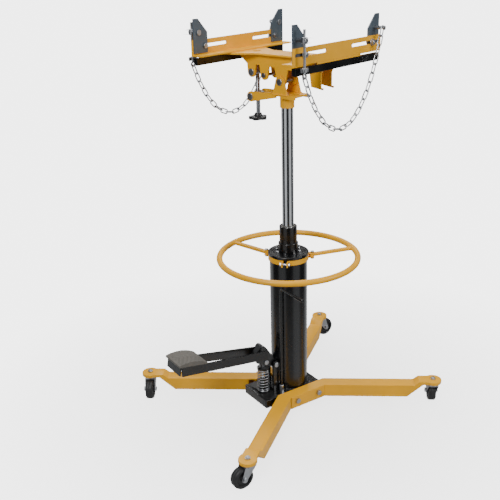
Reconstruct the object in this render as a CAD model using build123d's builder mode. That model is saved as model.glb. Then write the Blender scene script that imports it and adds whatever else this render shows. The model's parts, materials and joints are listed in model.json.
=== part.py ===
"""Telescopic transmission jack: foot pump, single ram, tilting saddle with corner brackets and chains.

Millimetres, +Z up.  The origin is on the ram's axis at floor level.  The pedal points to -X (the
front), so +Y is the left side.  The ram is modelled fully raised.
"""
import os
from math import asinh, atan, atan2, cos, cosh, degrees, hypot, radians, sin, sinh, sqrt, tan

from build123d import *

os.makedirs("parts", exist_ok=True)

# ---- driving dimensions -----------------------------------------------------------------------
fit = 0.05  # radial clearance of every turning or sliding fit
seat = 0.1  # radial clearance of every fixed fit
stroke = 400.0

# wheels and casters
king_x = 412.0
king_y = 336.0
wheel_d = 75.0
wheel_w = 28.0
wheel_round = 6.0
wheel_dish = 5.0
wheel_rim = 9.0
wheel_hub_r = 12.0
trail = 24.0
axle_r = 5.0
axle_nut_r = 8.5
axle_nut_t = 5.0
king_r = 6.0
king_head_r = 9.0
king_head_t = 3.0
king_nut_r = 10.0
king_nut_t = 5.0
king_dome_r = 7.0
king_dome_h = 4.0
crown_t = 4.0
crown_rise = 4.8
race_t = 6.0
race_r = 25.0
race_gap = 0.2
fork_t = 3.0
fork_gap = 2.0
fork_foot_r = 10.0

# legs
leg_w = 50.0
leg_h = 48.0
leg_wall = 3.0
leg_foot = 62.0
pad_t = 12.0
pad_r = 31.0
pad_rise = 14.0
leg_bend_low = 95.0
leg_bend_high = 70.0
pad_flat_low = 38.0
pad_flat_high = 52.0
leg_plug = 96.0
rail_w = 44.0
rail_l = 150.0
rail_wall = 4.0
frame_bolt_x = 48.0
frame_bolt_r = 6.0
frame_bolt_deep = 20.0
frame_nut_r = 10.0
frame_nut_t = 9.0

# base block
block_nose = 38.0
block_tail = 25.5
block_side = 4.5
block_t = 31.0
block_top = 77.0
block_round = 6.0
oil_well_r = 4.0
oil_way_r = 3.0
oil_way_z = 9.0
oil_well_floor = 6.0

# reservoir, cylinder and neck
tank_r = 66.5
tank_wall = 4.0
ram_hold = 100.0  # of tank above the piston when the ram is out
tank_groove = 3.0
flange_r = 72.0
flange_t = 10.0
flange_spigot = 14.0
neck_spigot = 40.0
neck_screw_r = 2.5
neck_screw_head = 5.0
neck_screw_ring = 43.0
neck_screw_deep = 7.0
neck_screw_turn = -142.5
cylinder_r = 30.0
cylinder_wall = 5.0
cylinder_seat = 17.0
collar_r = 35.0
collar_h = 34.0
neck_r = 31.0
neck_h = 95.0
ram_r = 20.0
piston_h = 22.0
wiper_h = 8.0
bush_h = 50.0
bush_wall = 3.0
neck_clear = 0.5
wiper_wall = 5.0
stub_r = 12.0
ram_home = 10.0

# pump
pump_reach = 37.0
pump_r = 15.0
pump_h = 50.0
pump_seat = 20.0
plunger_r = 8.0
spring_r = 21.0
spring_wire = 2.0
spring_turns = 8.5
spring_h = 93.0
cap_t = 4.0
cap_spigot = 5.0
fulcrum_gap = 13.5
fulcrum_z = 185.0
fulcrum_r = 7.0
pin_z = 201.0
pin_r = 6.0
pin_slot = 8.0
pin_head_t = 4.0
plunger_low = 6.0
plunger_eye_r = 14.0
plunger_eye_half = 11.0
cheek_in = 12.0
cheek_t = 8.0
lug_t = 8.0
lug_gap = 4.0
lug_r = 13.0
post_foot_t = 10.0
tank_gap = 0.5

# pedal
pedal_end = -474.0
pedal_back = 5.0
pedal_slope = 9.5
arm_h = 33.0
arm_t = 6.0
arm_low = 215.0
knuckle_r = 12.0
knuckle_nose_r = 9.0
knuckle_eye_r = 13.0
knuckle_back = 10.0
knuckle_rise = 54.0
knuckle_nose = 33.0
nose_low = 14.0
nose_high = 36.0
pedal_half = 45.0
foot_l = 98.0
foot_t = 4.0
rubber_t = 9.0
rubber_crown = 7.0
rubber_out = 3.0
lip_out = 12.0
apron_gap = 1.5

# release valve
valve_back = 13.0
valve_in = 27.0
valve_rod_r = 4.0
valve_stem_r = 7.0
valve_seat = 12.0
valve_hex_r = 9.0
valve_h = 26.0
valve_deep = 20.0
valve_drop = 104.0
lever_l = 128.0
lever_bend = 12.0
grip_l = 46.0
grip_wall = 2.5

# ring handle
ring_r = 244.0
ring_tube = 10.5
ring_drop = 10.0
band_h = 18.0
band_t = 5.0
handle_turn = 45.0
arm_root = 74.0
arm_tip = 64.0
spoke_w = 16.0
spoke_h = 10.0
root_out = 14.0
root_l = 24.0
ear_len = 22.0
ear_gap = 14.0
band_bolt_r = 4.0
band_nut_r = 7.0

# saddle head, in its own frame, which is turned about the ram's axis
head_turn = 14.0
socket_r = 24.0
head_gap = 13.0
socket_h = 40.0
base_t = 6.0
base_out = 38.0
base_y0 = -62.0
base_y1 = 76.0
tilt_rise = 87.0
tilt_r = 8.0
ear_out = 30.0
ear_t = 6.0
tilt_ear_r = 18.0
ear_foot = 70.0
screw_ear_r = 17.0
screw_ear_foot = 44.0
stay_y = 72.0
stay_drop = 6.0
stay_r = 5.0
stay_ear_r = 16.0
stay_ear_foot = 50.0
stay_nut_r = 9.0
stay_nut_t = 6.0
flange_l = 60.0
screw_y = 128.0
low_rise = 28.0
high_rise = 108.0
screw_r = 7.0
screw_top_rise = 133.0
screw_slack = 1.8
trunnion_r = 11.0
journal_r = 8.0
trunnion_head_r = 12.0
tilt_head_r = 11.0
screw_collar_r = 12.0
screw_collar_t = 5.0
knob_rise = -60.0
knob_r = 33.0
knob_t = 13.0
knob_lobes = 5
knob_lobe_r = 9.0
knob_hub_r = 14.0
knob_hub_h = 14.0
knob_skin = 8.0
plate_rise = 168.0
plate_t = 6.0
web_y0 = -160.0
web_y1 = -122.0
web_low_rise = 82.0
skirt_low_rise = 136.0
wing_half = 112.0
waist_half = 46.0
waist_y = 96.0
screw_hole = 15.0
rail_half = 222.0
rail_y = 209.0
rail_h = 50.0
flat_w = 45.0
steel_t = 5.0
slot_l = 150.0
slot_h = 10.2
slot_rise = 204.0
slot_end = 8.0
rail_trim = 4.0
backing_trim = 8.0
backing_h = 23.0
backing_w = 14.0
bracket_w = 60.0
bracket_h = 108.0
bracket_lift = 3.0
clamp_bolt_r = 4.9
clamp_in = 46.0
clamp_head_r = 9.0
clamp_head_t = 7.0
clamp_nut_t = 8.0
washer_r = 11.0
washer_t = 2.0
post_in = 20.0
post_rise = 247.0
post_r = 6.0
post_l = 34.0
hook_in = 8.0
hub_r = 9.0
hub_h = 18.0
flange_in = 3.0
pin_neck_r = 4.0
hook_eye_r = 5.0
hook_eye_w = 4.0
hook_eye_half = 2.5
wing_w = 34.0
wing_r = 8.0
wing_t = 4.0
wing_h = 12.0
wing_up = 6.0
rod_r = 4.0
rod_low_rise = 152.0
rod_high_rise = 278.0

# chains
link_wire = 2.0
link_r = 7.0
link_half = 10.0
link_gap = 0.3
link_count = 22
link_play = 0.4
near_play = 0.9
far_slope = 66.0  # of the chain where it leaves the rear post

# ---- sizes that follow from them --------------------------------------------------------------
block_low = block_top - block_t
block_w = 2 * (tank_r + block_side)
block_rear = tank_r + block_tail
fulcrum_x = -tank_r - fulcrum_gap
pump_x = fulcrum_x - pump_reach
block_front = pump_x - block_nose
pedal_start = pump_x + pedal_back
valve_x = fulcrum_x + valve_back
valve_y = valve_in - block_w / 2
axle_z = wheel_d / 2
crown_top = wheel_d + crown_rise
pad_low = crown_top + race_t + race_gap
pad_top = pad_low + pad_t
leg_top = pad_top - pad_rise
leg_low = leg_top - leg_h
cylinder_low = block_top - cylinder_seat
bore_r = cylinder_r - cylinder_wall
piston_low = cylinder_low + ram_home + stroke
tank_top = piston_low + piston_h + ram_hold
neck_base = tank_top + flange_t
neck_top = neck_base + neck_h
ring_z = tank_top - ring_drop
valve_top = tank_top - valve_drop
socket_z = neck_top + stroke + head_gap
tilt_z = socket_z + tilt_rise
low_z = socket_z + low_rise
high_z = socket_z + high_rise
screw_top = socket_z + screw_top_rise
knob_z = socket_z + knob_rise
plate_z = socket_z + plate_rise
web_low = socket_z + web_low_rise
skirt_low = socket_z + skirt_low_rise
slot_z = socket_z + slot_rise
post_z = socket_z + post_rise
rod_low = socket_z + rod_low_rise
rod_high = socket_z + rod_high_rise
ram_top = socket_z + socket_h - 4
ring_low = ring_z - band_h / 2
bolt_z = (block_low + leg_top) / 2
bolt_spots = [(-frame_bolt_x, bolt_z), (frame_bolt_x, bolt_z)]
corners = {
    "front_left": (-1, 1),
    "front_right": (-1, -1),
    "rear_left": (1, 1),
    "rear_right": (1, -1),
}
# the way each caster trails, as it came to rest
headings = {
    "front_left": 180 + 53.0,
    "front_right": 180.0,
    "rear_left": 0.0,
    "rear_right": 53.0,
}


def save(piece, name):
    piece.part.label = name
    export_step(piece.part, f"parts/{name}.step")


def save_head(piece, name):
    """Write a piece of the saddle head, turned with the head about the ram's axis."""
    turned = Rot(0, 0, head_turn) * piece.part
    turned.label = name
    export_step(turned, f"parts/{name}.step")


def upright(x, y, heading):
    """A vertical plane through (x, y): its x runs along the heading and its y runs up."""
    run = (cos(radians(heading)), sin(radians(heading)), 0)
    return Plane(origin=(x, y, 0), x_dir=run, z_dir=(run[1], -run[0], 0))


def across(x):
    """A plane across the head at x: its x runs along +Y, its y up and its normal along +X."""
    return Plane(origin=(x, 0, 0), x_dir=(0, 1, 0), z_dir=(1, 0, 0))


def facing(y, z=0.0):
    """A plane facing -Y at y: its x runs along +X and its y runs up."""
    return Plane(origin=(0, y, z), x_dir=(1, 0, 0), z_dir=(0, -1, 0))


# ---- base block -------------------------------------------------------------------------------
with BuildPart() as base_block:
    with BuildSketch(Plane.XY.offset(block_low)):
        with Locations(((block_front + block_rear) / 2, 0)):
            RectangleRounded(block_rear - block_front, block_w, block_round)
    extrude(amount=block_t)
    fillet(base_block.faces().sort_by(Axis.Z)[-1].edges(), 2)
    with BuildSketch(Plane.XY.offset(block_top)):
        Circle(tank_r + seat)
        Circle(tank_r - tank_wall - seat, mode=Mode.SUBTRACT)
    extrude(amount=-tank_groove, mode=Mode.SUBTRACT)
    with BuildSketch(Plane.XY.offset(block_top)):
        Circle(cylinder_r + seat)
    extrude(amount=-cylinder_seat, mode=Mode.SUBTRACT)
    with BuildSketch(Plane.XY.offset(block_top)):
        with Locations((pump_x, 0)):
            Circle(pump_r + seat)
    extrude(amount=-pump_seat, mode=Mode.SUBTRACT)
    with BuildSketch(Plane.XY.offset(block_top)):
        with Locations((valve_x, valve_y)):
            Circle(valve_stem_r + seat)
    extrude(amount=-valve_seat, mode=Mode.SUBTRACT)
    # oil way from the pump to the cylinder, with the two wells that meet it
    with BuildSketch(Plane.XY.offset(block_low + oil_well_floor)):
        with Locations((pump_x, 0), (0, 0)):
            Circle(oil_well_r)
    extrude(amount=block_t - oil_well_floor, mode=Mode.SUBTRACT)
    with BuildSketch(across(pump_x)):
        with Locations((0, block_low + oil_way_z)):
            Circle(oil_way_r)
    extrude(amount=-pump_x, mode=Mode.SUBTRACT)
    for side in (-1, 1):
        with BuildSketch(facing(side * block_w / 2)):
            with Locations(*bolt_spots):
                Circle(frame_bolt_r + seat)
        extrude(amount=side * (frame_bolt_deep + 2), mode=Mode.SUBTRACT)
save(base_block, "base_block")


# ---- leg frames: one bolted rail with two hollow legs and their caster pads --------------------

def leg(side, end):
    """One hollow leg running out to its caster, with the raised pad that the caster bolts to."""
    foot = (end * leg_foot, side * block_w / 2)
    pin = (end * king_x, side * king_y)
    run = hypot(pin[0] - foot[0], pin[1] - foot[1])
    plane = upright(*foot, degrees(atan2(pin[1] - foot[1], pin[0] - foot[0])))
    inner = -leg_w
    with BuildPart() as tube:
        with BuildSketch(plane):
            Polygon(
                (inner, leg_low),
                (run - leg_bend_low, leg_low),
                (run - pad_flat_low, pad_low),
                (run, pad_low),
                (run, pad_top),
                (run - pad_flat_high, pad_top),
                (run - leg_bend_high, leg_top),
                (inner, leg_top),
                align=None,
            )
        extrude(amount=leg_w / 2, both=True)
        with BuildSketch(Plane.XY.offset(pad_low)):
            with Locations(pin):
                Circle(pad_r)
        extrude(amount=pad_t)
        with BuildSketch(plane):
            Polygon(
                (inner - 1, leg_low + leg_wall),
                (run - leg_plug, leg_low + leg_wall),
                (run - leg_plug + leg_h / 2, leg_top - leg_wall),
                (inner - 1, leg_top - leg_wall),
                align=None,
            )
        extrude(amount=leg_w / 2 - leg_wall, both=True, mode=Mode.SUBTRACT)
        with BuildSketch(Plane.XY.offset(pad_low)):
            with Locations(pin):
                Circle(king_r + seat)
        extrude(amount=pad_t, mode=Mode.SUBTRACT)
    return tube.part


def leg_frame(side):
    legs = [leg(side, end) for end in (-1, 1)]
    with BuildPart() as frame:
        add(legs)
        with BuildSketch(Plane.XY.offset(leg_low)):
            with Locations((0, side * (block_w + rail_w) / 2)):
                Rectangle(rail_l, rail_w)
        extrude(amount=leg_h)
        with BuildSketch(across(-rail_l / 2 - leg_w)):
            with Locations((side * (block_w + rail_w) / 2, leg_low + leg_h / 2)):
                Rectangle(rail_w - 2 * rail_wall, leg_h - 2 * rail_wall)
        extrude(amount=rail_l + 2 * leg_w, mode=Mode.SUBTRACT)
        with BuildSketch(facing(side * block_w / 2)):
            with Locations(*bolt_spots):
                Circle(frame_bolt_r + seat)
        extrude(amount=-side * rail_w, mode=Mode.SUBTRACT)
        split(bisect_by=Plane(origin=(0, side * block_w / 2, 0), z_dir=(0, side, 0)), keep=Keep.TOP)
    return frame


for side, name in ((1, "left"), (-1, "right")):
    save(leg_frame(side), f"leg_frame_{name}")

with BuildPart() as frame_bolts:
    for side in (-1, 1):
        with BuildSketch(facing(side * (block_w / 2 - frame_bolt_deep))):
            with Locations(*bolt_spots):
                Circle(frame_bolt_r)
        extrude(amount=-side * (rail_w + frame_bolt_deep))
        with BuildSketch(facing(side * (block_w / 2 + rail_w))):
            with Locations(*bolt_spots):
                RegularPolygon(frame_nut_r, 6)
        extrude(amount=-side * frame_nut_t)
save(frame_bolts, "frame_bolts")

# ---- casters ----------------------------------------------------------------------------------
pins = [(x * king_x, y * king_y) for x, y in corners.values()]

with BuildPart() as caster_races:
    with BuildSketch(Plane.XY.offset(crown_top + race_gap)):
        with Locations(*pins):
            Circle(race_r)
            Circle(king_r + seat, mode=Mode.SUBTRACT)
    extrude(amount=race_t)
    fillet(caster_races.edges().filter_by(GeomType.CIRCLE).group_by(SortBy.RADIUS)[-1], 1.5)
save(caster_races, "caster_races")

with BuildPart() as king_bolts:
    with BuildSketch(Plane.XY.offset(crown_top - crown_t)):
        with Locations(*pins):
            Circle(king_r)
    extrude(amount=pad_top - crown_top + crown_t)
    with BuildSketch(Plane.XY.offset(crown_top - crown_t)):
        with Locations(*pins):
            Circle(king_head_r)
    extrude(amount=-king_head_t)
    with BuildSketch(Plane.XY.offset(pad_top)):
        with Locations(*pins):
            RegularPolygon(king_nut_r, 6)
    extrude(amount=king_nut_t)
    with BuildSketch(Plane.XY.offset(pad_top + king_nut_t)):
        with Locations(*pins):
            Circle(king_dome_r)
    extrude(amount=king_dome_h)
    fillet(king_bolts.faces().group_by(Axis.Z)[-1].edges(), king_dome_h - 0.5)
save(king_bolts, "king_bolts")

cheek_y = wheel_w / 2 + fork_gap


def caster(name, x, y, heading):
    """Fork, axle and wheel of one caster; the wheel trails along the heading."""
    plane = upright(x, y, heading)
    with BuildPart() as fork:
        with BuildSketch(Plane.XY.offset(crown_top - crown_t)):
            with Locations((x, y)):
                Circle(race_r - 2)
                with Locations(Location((0, 0, 0), (0, 0, heading))):
                    Rectangle(2 * race_r - 8, 2 * (cheek_y + fork_t))
        extrude(amount=crown_t)
        for hand in (-1, 1):
            with BuildSketch(plane.offset(hand * cheek_y)):
                with Locations((trail, axle_z)):
                    Circle(fork_foot_r)
                with Locations((0, crown_top - crown_t / 2)):
                    Rectangle(2 * race_r - 8, crown_t)
                make_hull()
            extrude(amount=hand * fork_t)
        with BuildSketch(plane.offset(-cheek_y - fork_t)):
            with Locations((trail, axle_z)):
                Circle(axle_r + seat)
        extrude(amount=2 * (cheek_y + fork_t), mode=Mode.SUBTRACT)
        with BuildSketch(Plane.XY.offset(crown_top - crown_t)):
            with Locations((x, y)):
                Circle(king_r + fit)
        extrude(amount=crown_t, mode=Mode.SUBTRACT)
    save(fork, f"caster_fork_{name}")

    with BuildPart() as axle:
        with BuildSketch(plane.offset(-cheek_y - fork_t)):
            with Locations((trail, axle_z)):
                Circle(axle_r)
        extrude(amount=2 * (cheek_y + fork_t))
        for hand in (-1, 1):
            with BuildSketch(plane.offset(hand * (cheek_y + fork_t))):
                with Locations((trail, axle_z)):
                    RegularPolygon(axle_nut_r, 6)
            extrude(amount=hand * axle_nut_t)
    save(axle, f"caster_axle_{name}")

    with BuildPart() as wheel:
        with BuildSketch(plane.offset(-wheel_w / 2)):
            with Locations((trail, axle_z)):
                Circle(wheel_d / 2)
        extrude(amount=wheel_w)
        fillet(wheel.edges().filter_by(GeomType.CIRCLE), wheel_round)
        for hand in (-1, 1):
            with BuildSketch(plane.offset(hand * wheel_w / 2)):
                with Locations((trail, axle_z)):
                    Circle(wheel_d / 2 - wheel_rim)
                    Circle(wheel_hub_r, mode=Mode.SUBTRACT)
            extrude(amount=-hand * wheel_dish, mode=Mode.SUBTRACT)
        with BuildSketch(plane.offset(-wheel_w / 2)):
            with Locations((trail, axle_z)):
                Circle(axle_r + fit)
        extrude(amount=wheel_w, mode=Mode.SUBTRACT)
    save(wheel, f"caster_wheel_{name}")


for name, (end, side) in corners.items():
    caster(name, end * king_x, side * king_y, headings[name])

# ---- reservoir, cylinder, flange and neck -----------------------------------------------------
with BuildPart() as reservoir_tube:
    with BuildSketch(Plane.XY.offset(block_top - tank_groove)):
        Circle(tank_r)
        Circle(tank_r - tank_wall, mode=Mode.SUBTRACT)
    extrude(amount=tank_top - block_top + tank_groove)
save(reservoir_tube, "reservoir_tube")

with BuildPart() as pressure_cylinder:
    with BuildSketch(Plane.XY.offset(cylinder_low)):
        Circle(cylinder_r)
        Circle(bore_r, mode=Mode.SUBTRACT)
    extrude(amount=neck_base - cylinder_low)
save(pressure_cylinder, "pressure_cylinder")

with BuildPart() as top_flange:
    with BuildSketch(Plane.XY.offset(tank_top)):
        Circle(flange_r)
    extrude(amount=flange_t)
    chamfer(top_flange.faces().sort_by(Axis.Z)[-1].edges(), 1.5)
    with BuildSketch(Plane.XY.offset(tank_top)):
        Circle(tank_r - tank_wall - seat)
    extrude(amount=-flange_spigot)
    with BuildSketch(Plane.XY.offset(tank_top - flange_spigot)):
        Circle(cylinder_r + seat)
    extrude(amount=flange_t + flange_spigot, mode=Mode.SUBTRACT)
    with BuildSketch(Plane.XY.offset(neck_base)):
        with PolarLocations(neck_screw_ring, 8, start_angle=neck_screw_turn):
            Circle(neck_screw_r + seat)
    extrude(amount=-neck_screw_deep - 1, mode=Mode.SUBTRACT)
save(top_flange, "top_flange")

with BuildPart() as neck_sleeve:
    with BuildSketch(Plane.XY.offset(neck_base - neck_spigot)):
        Circle(bore_r - seat)
    extrude(amount=neck_spigot)
    with BuildSketch(Plane.XY.offset(neck_base)):
        Circle(collar_r)
    extrude(amount=collar_h)
    with BuildSketch(Plane.XY.offset(neck_base + collar_h)):
        Circle(neck_r)
    extrude(amount=neck_h - collar_h)
    fillet(neck_sleeve.edges().filter_by(GeomType.CIRCLE).group_by(Axis.Z)[-1], 1.5)
    fillet(neck_sleeve.edges().filter_by(GeomType.CIRCLE).filter_by_position(
        Axis.Z, neck_base + collar_h, neck_base + collar_h).group_by(SortBy.RADIUS)[-1], 2)
    with BuildSketch(Plane.XY.offset(neck_base - neck_spigot)):
        Circle(ram_r + neck_clear)
    extrude(amount=neck_spigot + neck_h, mode=Mode.SUBTRACT)
    with BuildSketch(Plane.XY.offset(neck_top)):
        Circle(ram_r + bush_wall + seat)
    extrude(amount=-wiper_h - bush_h, mode=Mode.SUBTRACT)
    with BuildSketch(Plane.XY.offset(neck_top)):
        Circle(ram_r + wiper_wall + seat)
    extrude(amount=-wiper_h, mode=Mode.SUBTRACT)
save(neck_sleeve, "neck_sleeve")

with BuildPart() as neck_screws:
    with BuildSketch(Plane.XY.offset(neck_base)):
        with PolarLocations(neck_screw_ring, 8, start_angle=neck_screw_turn):
            RegularPolygon(neck_screw_head, 6)
    extrude(amount=neck_screw_head)
    with BuildSketch(Plane.XY.offset(neck_base)):
        with PolarLocations(neck_screw_ring, 8, start_angle=neck_screw_turn):
            Circle(neck_screw_r)
    extrude(amount=-neck_screw_deep)
save(neck_screws, "neck_screws")

with BuildPart() as guide_bush:
    with BuildSketch(Plane.XY.offset(neck_top - wiper_h - bush_h)):
        Circle(ram_r + bush_wall)
        Circle(ram_r + fit, mode=Mode.SUBTRACT)
    extrude(amount=bush_h)
save(guide_bush, "guide_bush")

with BuildPart() as rod_wiper:
    with BuildSketch(Plane.XY.offset(neck_top - wiper_h)):
        Circle(ram_r + wiper_wall)
        Circle(ram_r + fit, mode=Mode.SUBTRACT)
    extrude(amount=wiper_h)
save(rod_wiper, "rod_wiper")

# ---- ram and piston ---------------------------------------------------------------------------
with BuildPart() as ram:
    with BuildSketch(Plane.XY.offset(piston_low + piston_h)):
        Circle(ram_r)
    extrude(amount=ram_top - piston_low - piston_h)
    chamfer(ram.faces().sort_by(Axis.Z)[-1].edges(), 2)
    with BuildSketch(Plane.XY.offset(piston_low)):
        Circle(stub_r)
    extrude(amount=piston_h)
save(ram, "ram")

with BuildPart() as piston:
    with BuildSketch(Plane.XY.offset(piston_low)):
        Circle(bore_r - fit)
        Circle(stub_r + seat, mode=Mode.SUBTRACT)
    extrude(amount=piston_h)
    chamfer(piston.edges().filter_by(GeomType.CIRCLE).group_by(SortBy.RADIUS)[-1], 1)
save(piston, "piston")

# ---- pump -------------------------------------------------------------------------------------
cap_z = block_top + spring_h

with BuildPart() as pump_cylinder:
    with BuildSketch(Plane.XY.offset(block_top - pump_seat)):
        with Locations((pump_x, 0)):
            Circle(pump_r)
    extrude(amount=pump_seat + pump_h)
    chamfer(pump_cylinder.faces().sort_by(Axis.Z)[-1].edges(), 1.5)
    with BuildSketch(Plane.XY.offset(block_top - pump_seat)):
        with Locations((pump_x, 0)):
            Circle(plunger_r + fit)
    extrude(amount=pump_seat + pump_h, mode=Mode.SUBTRACT)
save(pump_cylinder, "pump_cylinder")

with BuildPart() as pump_plunger:
    with BuildSketch(Plane.XY.offset(block_top + plunger_low)):
        with Locations((pump_x, 0)):
            Circle(plunger_r)
    extrude(amount=pin_z - block_top - plunger_low)
    with BuildSketch(facing(plunger_eye_half)):
        with Locations((pump_x, pin_z)):
            SlotOverall(2 * plunger_eye_r + pin_slot, 2 * plunger_eye_r - 6)
    extrude(amount=2 * plunger_eye_half)
    with BuildSketch(facing(plunger_eye_half)):
        with Locations((pump_x, pin_z)):
            SlotOverall(2 * pin_r + 1 + pin_slot, 2 * pin_r + 0.8)
    extrude(amount=2 * plunger_eye_half, mode=Mode.SUBTRACT)
save(pump_plunger, "pump_plunger")

with BuildPart() as spring_cap:
    with BuildSketch(Plane.XY.offset(cap_z)):
        with Locations((pump_x, 0)):
            Circle(spring_r + spring_wire + 1)
            Circle(plunger_r + seat, mode=Mode.SUBTRACT)
    extrude(amount=cap_t)
    with BuildSketch(Plane.XY.offset(cap_z)):
        with Locations((pump_x, 0)):
            Circle(spring_r - spring_wire - 0.5)
            Circle(plunger_r + seat, mode=Mode.SUBTRACT)
    extrude(amount=-cap_spigot)
save(spring_cap, "spring_cap")

spring_low = block_top + spring_wire
spring_rise = spring_h - 2 * spring_wire
with BuildPart() as pump_spring:
    with BuildLine():
        coil = Helix(spring_rise / spring_turns, spring_rise, spring_r, center=(pump_x, 0, spring_low))
    with BuildSketch(Plane(origin=coil @ 0, z_dir=coil % 0)):
        Circle(spring_wire)
    sweep(path=coil, is_frenet=True)
save(pump_spring, "pump_spring")

lug_in = cheek_in + cheek_t + lug_gap
with BuildPart() as fulcrum_post:
    for hand in (-1, 1):
        with BuildSketch(facing(hand * lug_in)):
            with Locations((fulcrum_x, fulcrum_z)):
                Circle(lug_r)
            with Locations((fulcrum_x, block_top + post_foot_t)):
                Rectangle(2 * lug_r, 2 * post_foot_t)
            make_hull()
        extrude(amount=-hand * lug_t)
    with BuildSketch(Plane.XY.offset(block_top)):
        with Locations((fulcrum_x, 0)):
            Rectangle(2 * lug_r, 2 * (lug_in + lug_t))
        with Locations((pump_x, 0)):
            Circle(spring_r + spring_wire + 2, mode=Mode.SUBTRACT)
        Circle(tank_r + tank_gap, mode=Mode.SUBTRACT)
    extrude(amount=post_foot_t)
    with BuildSketch(Plane.XY.offset(block_top)):
        Circle(tank_r + tank_gap)
    extrude(amount=fulcrum_z, mode=Mode.SUBTRACT)
    with BuildSketch(facing(lug_in + lug_t)):
        with Locations((fulcrum_x, fulcrum_z)):
            Circle(fulcrum_r + seat)
    extrude(amount=2 * (lug_in + lug_t), mode=Mode.SUBTRACT)
save(fulcrum_post, "fulcrum_post")


def cross_pin(x, z, radius, half, head):
    """A headed pin along Y, standing out the same on both sides."""
    with BuildPart() as pin:
        with BuildSketch(facing(half)):
            with Locations((x, z)):
                Circle(radius)
        extrude(amount=2 * half)
        for hand in (-1, 1):
            with BuildSketch(facing(hand * half)):
                with Locations((x, z)):
                    Circle(head)
            extrude(amount=-hand * pin_head_t)
        fillet(pin.faces().group_by(Axis.Y)[0].edges() + pin.faces().group_by(Axis.Y)[-1].edges(), 1.5)
    return pin


save(cross_pin(fulcrum_x, fulcrum_z, fulcrum_r, lug_in + lug_t, fulcrum_r + 3), "fulcrum_pin")
save(cross_pin(pump_x, pin_z, pin_r, cheek_in + cheek_t, pin_r + 3), "plunger_pin")

# ---- pedal ------------------------------------------------------------------------------------
with BuildPart() as pedal_knuckle:
    for hand in (-1, 1):
        with BuildSketch(facing(hand * cheek_in)):
            with Locations((fulcrum_x, fulcrum_z)):
                Circle(knuckle_r)
            with Locations((pump_x, pin_z)):
                Circle(knuckle_eye_r)
            with Locations((pump_x - knuckle_back, pin_z + knuckle_rise)):
                Circle(knuckle_r)
            with Locations((pump_x - knuckle_nose, pin_z + nose_low)):
                Circle(knuckle_nose_r)
            make_hull()
        extrude(amount=-hand * cheek_t)
    with BuildSketch(facing(cheek_in)):
        with Locations((pump_x - knuckle_back, pin_z + knuckle_rise)):
            Circle(knuckle_r)
        with Locations((pump_x - knuckle_nose, pin_z + nose_high)):
            Circle(knuckle_nose_r)
        make_hull()
    extrude(amount=2 * cheek_in)
    for x, z, radius in ((fulcrum_x, fulcrum_z, fulcrum_r + fit), (pump_x, pin_z, pin_r + seat)):
        with BuildSketch(facing(cheek_in + cheek_t)):
            with Locations((x, z)):
                Circle(radius)
        extrude(amount=2 * (cheek_in + cheek_t), mode=Mode.SUBTRACT)
save(pedal_knuckle, "pedal_knuckle")

arm_run = pedal_start - pedal_end
arm_rise = arm_run * tan(radians(pedal_slope))
arm_y = cheek_in + cheek_t
arm_splay = degrees(atan2(pedal_half - arm_y - arm_t, arm_run))
with BuildPart() as pedal_arms:
    for hand in (-1, 1):
        plane = upright(pedal_start, hand * arm_y, 180 - hand * arm_splay)
        with BuildSketch(plane):
            Polygon(
                (0, arm_low),
                (arm_run, arm_low + arm_rise),
                (arm_run, arm_low + arm_rise + arm_h),
                (0, arm_low + arm_h),
                align=None,
            )
        extrude(amount=hand * arm_t)
save(pedal_arms, "pedal_arms")

slope = atan(tan(radians(pedal_slope)) / cos(radians(arm_splay)))
foot_x = pedal_end + foot_l / 2
foot_z = arm_low + arm_h + (pedal_start - foot_x) * tan(slope) + seat
foot_plane = Plane(origin=(foot_x, 0, foot_z), x_dir=(cos(slope), 0, -sin(slope)), z_dir=(0, -1, 0))
with BuildPart() as foot_plate:
    with BuildSketch(foot_plane):
        with Locations((0, foot_t / 2)):
            Rectangle(foot_l, foot_t)
        with Locations((-foot_l / 2 - foot_t / 2 - apron_gap, -arm_h / 2 + foot_t)):
            Rectangle(foot_t, arm_h)
        with Locations((-foot_l / 2, foot_t / 2)):
            Rectangle(2 * (foot_t + apron_gap), foot_t)
    extrude(amount=pedal_half, both=True)
save(foot_plate, "foot_plate")

with BuildPart() as pedal_pad:
    with BuildSketch(foot_plane):
        with BuildLine():
            low = Line((-foot_l / 2 - lip_out, foot_t), (foot_l / 2, foot_t))
            front = Line(low @ 0, (-foot_l / 2 - lip_out, foot_t + rubber_t - 3))
            rear = Line(low @ 1, (foot_l / 2, foot_t + rubber_t - 5))
            ThreePointArc(front @ 1, (-foot_l / 8, foot_t + rubber_t + rubber_crown), rear @ 1)
        make_face()
    extrude(amount=pedal_half + rubber_out, both=True)
save(pedal_pad, "pedal_pad")

# ---- release valve ----------------------------------------------------------------------------
with BuildPart() as release_valve:
    with BuildSketch(Plane.XY.offset(block_top - valve_seat)):
        with Locations((valve_x, valve_y)):
            Circle(valve_stem_r)
    extrude(amount=valve_seat)
    with BuildSketch(Plane.XY.offset(block_top)):
        with Locations((valve_x, valve_y)):
            RegularPolygon(valve_hex_r, 6)
    extrude(amount=valve_h)
    chamfer(release_valve.faces().sort_by(Axis.Z)[-1].edges(), 1)
    with BuildSketch(Plane.XY.offset(block_top + valve_h)):
        with Locations((valve_x, valve_y)):
            Circle(valve_rod_r + fit)
    extrude(amount=-valve_deep, mode=Mode.SUBTRACT)
save(release_valve, "release_valve")

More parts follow.
